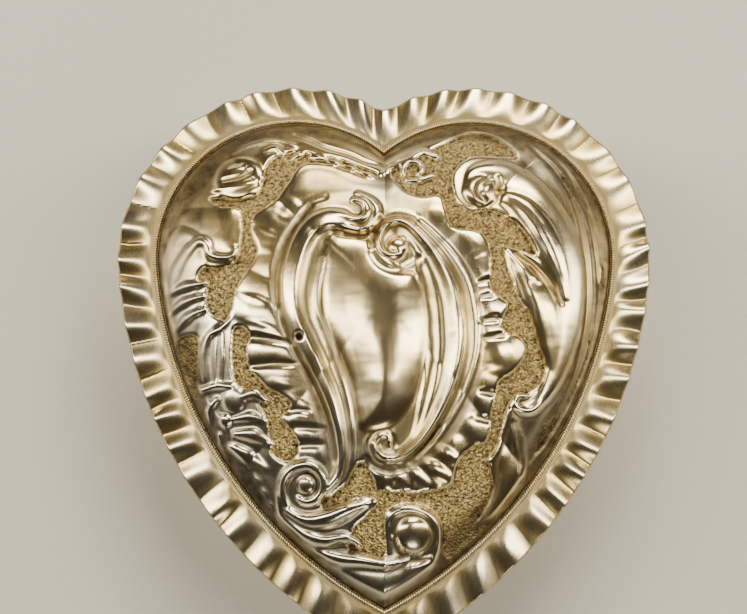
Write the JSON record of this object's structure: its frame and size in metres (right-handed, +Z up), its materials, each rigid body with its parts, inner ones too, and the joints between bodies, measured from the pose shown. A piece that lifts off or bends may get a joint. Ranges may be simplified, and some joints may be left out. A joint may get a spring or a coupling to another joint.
{
  "type": "heart-shaped trinket box",
  "caption": "Heart-shaped silver trinket box: lined case, domed embossed lid with a fluted border, hinged at the back of the lobes.",
  "frame": {"origin": "centre of the footprint's box, on the table", "axes": "+Z up, +Y towards the cleft and the hinges, -Y towards the heart's tip where the lid is lifted, +X to the right"},
  "size_m": [0.092, 0.0984, 0.034],
  "materials": {
    "silver_plain": "polished silver, lightly scratched",
    "silver_fluted": "warm tarnished silver, crests rubbed bright",
    "silver_repousse": "embossed silver, gilt-brown tarnish in the ground",
    "silver_wire": "milled silver wire and beads",
    "velvet": "cut pile velvet",
    "satin": "padded satin",
    "card": "buff card"
  },
  "bodies": {
    "case": {"side_wall": "silver_plain", "base_plate": "silver_plain", "foot_moulding": "silver_wire", "rim_moulding": "silver_wire", "floor_card": "card", "floor_pad": "velvet", "wall_lining": "velvet", "left_hinge_bearer": "silver_plain", "right_hinge_bearer": "silver_plain", "left_case_knuckles": "silver_plain", "right_case_knuckles": "silver_plain", "left_hinge_pin": "silver_wire", "right_hinge_pin": "silver_wire"},
    "lid": {"fluted_border": "silver_fluted", "milled_wire": "silver_wire", "lid_dome": "silver_repousse", "lid_bezel": "silver_plain", "left_lid_leaf": "silver_plain", "right_lid_leaf": "silver_plain", "left_lid_knuckle": "silver_plain", "right_lid_knuckle": "silver_plain", "lid_card": "card", "lid_lining": "satin"}
  },
  "joints": [
    {"name": "lid_hinge", "type": "hinge", "parent": "case", "child": "lid", "pos_m": [0, 0.04385, 0.0194], "axis": [-1, 0, 0], "range_deg": [0, 100]}
  ]
}
